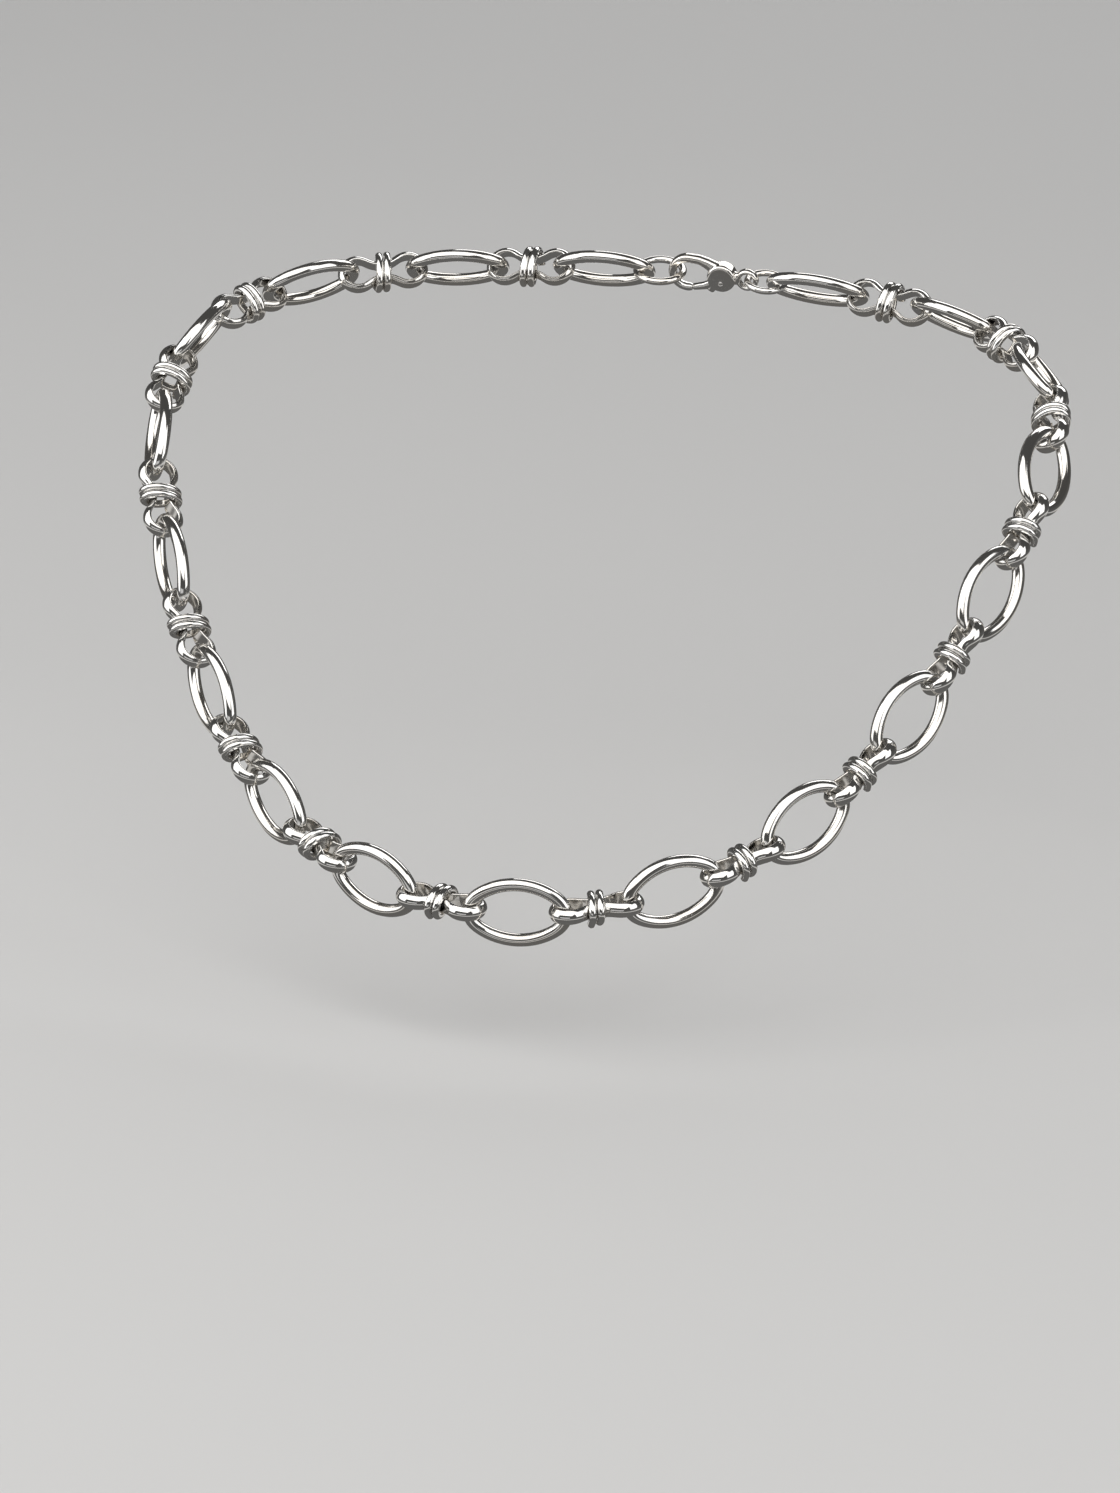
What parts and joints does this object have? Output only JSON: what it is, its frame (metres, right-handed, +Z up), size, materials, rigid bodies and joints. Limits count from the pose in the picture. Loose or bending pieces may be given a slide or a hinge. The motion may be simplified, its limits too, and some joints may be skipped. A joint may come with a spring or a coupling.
{
  "type": "chain necklace",
  "caption": "Necklace of polished oval links joined by wrapped figure-of-eight connectors, closed by a lobster clasp at the nape.",
  "frame": {"origin": "the nape: the point of the chain's line at the back of the neck, on the plane that halves the neck", "axes": "+X to the right as the wearer is faced, -Y towards the front of the wearer, +Z up, with the chain in the drape it takes round a neck"},
  "size_m": [0.1475, 0.1261, 0.0742],
  "materials": {
    "polished_oval": "mirror-polished silver-coloured plating, with a faint waviness",
    "polished_connector": "mirror-polished silver-coloured plating on a domed strip",
    "polished_wrap": "mirror-polished silver-coloured plating on a small wound strip",
    "ring_metal": "polished silver-coloured plating",
    "clasp_metal": "polished silver-coloured plating",
    "spring_steel": "bare spring wire"
  },
  "bodies": {
    "clasp": {"clasp_body": "clasp_metal", "clasp_pin": "clasp_metal", "clasp_spring": "spring_steel"},
    "lever": {"clasp_lever": "clasp_metal"},
    "jump_ring": {"jump_ring": "ring_metal"},
    "oval_18": {"oval_link_18": "polished_oval"},
    "connector_17": {"connector_loop_17": "polished_connector", "connector_wrap_17": "polished_wrap"},
    "oval_17": {"oval_link_17": "polished_oval"},
    "connector_16": {"connector_loop_16": "polished_connector", "connector_wrap_16": "polished_wrap"},
    "oval_16": {"oval_link_16": "polished_oval"},
    "connector_15": {"connector_loop_15": "polished_connector", "connector_wrap_15": "polished_wrap"},
    "oval_15": {"oval_link_15": "polished_oval"},
    "connector_14": {"connector_loop_14": "polished_connector", "connector_wrap_14": "polished_wrap"},
    "oval_14": {"oval_link_14": "polished_oval"},
    "connector_13": {"connector_loop_13": "polished_connector", "connector_wrap_13": "polished_wrap"},
    "oval_13": {"oval_link_13": "polished_oval"},
    "connector_12": {"connector_loop_12": "polished_connector", "connector_wrap_12": "polished_wrap"},
    "oval_12": {"oval_link_12": "polished_oval"},
    "connector_11": {"connector_loop_11": "polished_connector", "connector_wrap_11": "polished_wrap"},
    "oval_11": {"oval_link_11": "polished_oval"},
    "connector_10": {"connector_loop_10": "polished_connector", "connector_wrap_10": "polished_wrap"},
    "oval_10": {"oval_link_10": "polished_oval"},
    "connector_09": {"connector_loop_09": "polished_connector", "connector_wrap_09": "polished_wrap"},
    "oval_09": {"oval_link_09": "polished_oval"},
    "connector_08": {"connector_loop_08": "polished_connector", "connector_wrap_08": "polished_wrap"},
    "oval_08": {"oval_link_08": "polished_oval"},
    "connector_07": {"connector_loop_07": "polished_connector", "connector_wrap_07": "polished_wrap"},
    "oval_07": {"oval_link_07": "polished_oval"},
    "connector_06": {"connector_loop_06": "polished_connector", "connector_wrap_06": "polished_wrap"},
    "oval_06": {"oval_link_06": "polished_oval"},
    "connector_05": {"connector_loop_05": "polished_connector", "connector_wrap_05": "polished_wrap"},
    "oval_05": {"oval_link_05": "polished_oval"},
    "connector_04": {"connector_loop_04": "polished_connector", "connector_wrap_04": "polished_wrap"},
    "oval_04": {"oval_link_04": "polished_oval"},
    "connector_03": {"connector_loop_03": "polished_connector", "connector_wrap_03": "polished_wrap"},
    "oval_03": {"oval_link_03": "polished_oval"},
    "connector_02": {"connector_loop_02": "polished_connector", "connector_wrap_02": "polished_wrap"},
    "oval_02": {"oval_link_02": "polished_oval"},
    "connector_01": {"connector_loop_01": "polished_connector", "connector_wrap_01": "polished_wrap"},
    "oval_01": {"oval_link_01": "polished_oval"},
    "end_ring": {"end_ring": "ring_metal"}
  },
  "joints": [
    {"name": "lever_press", "type": "hinge", "parent": "clasp", "child": "lever", "pos_m": [0.01095, 0.00097, -0.00105], "axis": [0.0353, 0.9803, 0.1943], "range_deg": [0, 30], "stiffness_Nm_per_rad": 0.002},
    {"name": "jump_ring_swivel", "type": "hinge", "parent": "clasp", "child": "jump_ring", "pos_m": [0.01607, 0.0007, -0.00065], "axis": [-0.9973, 0.0422, 0.0598], "range_deg": [-8, 8]},
    {"name": "oval_18_swing", "type": "hinge", "parent": "jump_ring", "child": "oval_18", "pos_m": [0.02015, 0.00091, -0.00095], "axis": [0.9978, -0.0178, -0.0634], "range_deg": [-8, 1.5]},
    {"name": "connector_17_swing", "type": "hinge", "parent": "oval_18", "child": "connector_17", "pos_m": [0.03192, 0.00072, -0.00185], "axis": [-0.9975, 0.0173, 0.0689], "range_deg": [-8, 8]},
    {"name": "oval_17_swing", "type": "hinge", "parent": "connector_17", "child": "oval_17", "pos_m": [0.04497, -0.0022, -0.00271], "axis": [0.9942, -0.0834, -0.0678], "range_deg": [-8, 8]},
    {"name": "connector_16_swing", "type": "hinge", "parent": "oval_17", "child": "connector_16", "pos_m": [0.05445, -0.00732, -0.00336], "axis": [-0.9835, 0.1678, 0.0671], "range_deg": [-8, 8]},
    {"name": "oval_16_swing", "type": "hinge", "parent": "connector_16", "child": "oval_16", "pos_m": [0.0637, -0.01693, -0.0047], "axis": [0.9534, -0.292, -0.0764], "range_deg": [-8, 8]},
    {"name": "connector_15_swing", "type": "hinge", "parent": "oval_16", "child": "connector_15", "pos_m": [0.06842, -0.02641, -0.00683], "axis": [-0.9136, 0.3946, 0.0982], "range_deg": [-8, 8]},
    {"name": "oval_15_swing", "type": "hinge", "parent": "connector_15", "child": "oval_15", "pos_m": [0.07069, -0.03879, -0.01143], "axis": [0.8466, -0.5116, -0.1468], "range_deg": [-8, 8]},
    {"name": "connector_14_swing", "type": "hinge", "parent": "oval_15", "child": "connector_14", "pos_m": [0.07001, -0.04818, -0.01672], "axis": [-0.7823, 0.5898, 0.2003], "range_deg": [-8, 8]},
    {"name": "oval_14_swing", "type": "hinge", "parent": "connector_14", "child": "oval_14", "pos_m": [0.06704, -0.05857, -0.02463], "axis": [0.695, -0.6645, -0.2744], "range_deg": [-8, 8]},
    {"name": "connector_13_swing", "type": "hinge", "parent": "oval_14", "child": "connector_13", "pos_m": [0.06353, -0.06612, -0.03152], "axis": [-0.6216, 0.7092, 0.3325], "range_deg": [-8, 8]},
    {"name": "oval_13_swing", "type": "hinge", "parent": "connector_13", "child": "oval_13", "pos_m": [0.05822, -0.07501, -0.04002], "axis": [0.5292, -0.7511, -0.3949], "range_deg": [-8, 8]},
    {"name": "connector_12_swing", "type": "hinge", "parent": "oval_13", "child": "connector_12", "pos_m": [0.05324, -0.08216, -0.0464], "axis": [-0.4547, 0.778, 0.4335], "range_deg": [-8, 8]},
    {"name": "oval_12_swing", "type": "hinge", "parent": "connector_12", "child": "oval_12", "pos_m": [0.04609, -0.09121, -0.05323], "axis": [0.3631, -0.8072, -0.4654], "range_deg": [-8, 8]},
    {"name": "connector_11_swing", "type": "hinge", "parent": "oval_12", "child": "connector_11", "pos_m": [0.03941, -0.09849, -0.05759], "axis": [-0.2899, 0.8285, 0.479], "range_deg": [-8, 8]},
    {"name": "oval_11_swing", "type": "hinge", "parent": "connector_11", "child": "oval_11", "pos_m": [0.02978, -0.10696, -0.06148], "axis": [0.1989, -0.8518, -0.4846], "range_deg": [-8, 8]},
    {"name": "connector_10_swing", "type": "hinge", "parent": "oval_11", "child": "connector_10", "pos_m": [0.02082, -0.11264, -0.06349], "axis": [-0.124, 0.8665, 0.4836], "range_deg": [-8, 8]},
    {"name": "oval_10_swing", "type": "hinge", "parent": "connector_10", "child": "oval_10", "pos_m": [0.00827, -0.11716, -0.06479], "axis": [0.0277, -0.8767, -0.4802], "range_deg": [-8, 8]},
    {"name": "connector_09_swing", "type": "hinge", "parent": "oval_10", "child": "connector_09", "pos_m": [-0.0025, -0.11792, -0.06498], "axis": [0.0517, 0.8766, 0.4785], "range_deg": [-8, 8]},
    {"name": "oval_09_swing", "type": "hinge", "parent": "connector_09", "child": "oval_09", "pos_m": [-0.01556, -0.11502, -0.0642], "axis": [-0.1496, -0.8653, -0.4784], "range_deg": [-8, 8]},
    {"name": "connector_08_swing", "type": "hinge", "parent": "oval_09", "child": "connector_08", "pos_m": [-0.0251, -0.11019, -0.06268], "axis": [0.2258, 0.8488, 0.478], "range_deg": [-8, 8]},
    {"name": "oval_08_swing", "type": "hinge", "parent": "connector_08", "child": "oval_08", "pos_m": [-0.03543, -0.10229, -0.05948], "axis": [-0.3174, -0.822, -0.4728], "range_deg": [-8, 8]},
    {"name": "connector_07_swing", "type": "hinge", "parent": "oval_08", "child": "connector_07", "pos_m": [-0.04261, -0.09515, -0.05571], "axis": [0.3899, 0.797, 0.4612], "range_deg": [-8, 8]},
    {"name": "oval_07_swing", "type": "hinge", "parent": "connector_07", "child": "oval_07", "pos_m": [-0.05028, -0.08606, -0.04953], "axis": [-0.4793, -0.7631, -0.4336], "range_deg": [-8, 8]},
    {"name": "connector_06_swing", "type": "hinge", "parent": "oval_07", "child": "connector_06", "pos_m": [-0.05562, -0.07885, -0.04353], "axis": [0.5508, 0.733, 0.3991], "range_deg": [-8, 8]},
    {"name": "oval_06_swing", "type": "hinge", "parent": "connector_06", "child": "oval_06", "pos_m": [-0.06135, -0.07001, -0.03524], "axis": [-0.6382, -0.6898, -0.3419], "range_deg": [-8, 8]},
    {"name": "connector_05_swing", "type": "hinge", "parent": "oval_06", "child": "connector_05", "pos_m": [-0.06525, -0.0627, -0.02831], "axis": [0.7065, 0.6469, 0.2871], "range_deg": [-8, 8]},
    {"name": "oval_05_swing", "type": "hinge", "parent": "connector_05", "child": "oval_05", "pos_m": [-0.06896, -0.05285, -0.02001], "axis": [-0.7868, -0.5787, -0.2148], "range_deg": [-8, 8]},
    {"name": "connector_04_swing", "type": "hinge", "parent": "oval_05", "child": "connector_04", "pos_m": [-0.07056, -0.04395, -0.01412], "axis": [0.8461, 0.5086, 0.1596], "range_deg": [-8, 8]},
    {"name": "oval_04_swing", "type": "hinge", "parent": "connector_04", "child": "oval_04", "pos_m": [-0.06988, -0.03179, -0.00853], "axis": [-0.9092, -0.403, -0.1048], "range_deg": [-8, 8]},
    {"name": "connector_03_swing", "type": "hinge", "parent": "oval_04", "child": "connector_03", "pos_m": [-0.06657, -0.02191, -0.00569], "axis": [0.9483, 0.3081, 0.0765], "range_deg": [-8, 8]},
    {"name": "oval_03_swing", "type": "hinge", "parent": "connector_03", "child": "oval_03", "pos_m": [-0.05887, -0.0111, -0.00382], "axis": [-0.98, -0.1899, -0.0597], "range_deg": [-8, 8]},
    {"name": "connector_02_swing", "type": "hinge", "parent": "oval_03", "child": "connector_02", "pos_m": [-0.05025, -0.00464, -0.00305], "axis": [0.9928, 0.1057, 0.0561], "range_deg": [-8, 8]},
    {"name": "oval_02_swing", "type": "hinge", "parent": "connector_02", "child": "oval_02", "pos_m": [-0.03766, -0.00012, -0.00225], "axis": [-0.998, -0.0309, -0.0543], "range_deg": [-8, 8]},
    {"name": "connector_01_swing", "type": "hinge", "parent": "oval_02", "child": "connector_01", "pos_m": [-0.02695, 0.001, -0.00147], "axis": [0.9988, 0.0062, 0.0482], "range_deg": [-8, 8]},
    {"name": "oval_01_swing", "type": "hinge", "parent": "connector_01", "child": "oval_01", "pos_m": [-0.01359, 0.00055, -0.00048], "axis": [-0.999, -0.0353, -0.029], "range_deg": [-8, 8]},
    {"name": "end_ring_swing", "type": "hinge", "parent": "oval_01", "child": "end_ring", "pos_m": [-0.00181, 0.00001, -0.00001], "axis": [0.9831, 0.1829, 0.0084], "range_deg": [-2, 8]}
  ]
}
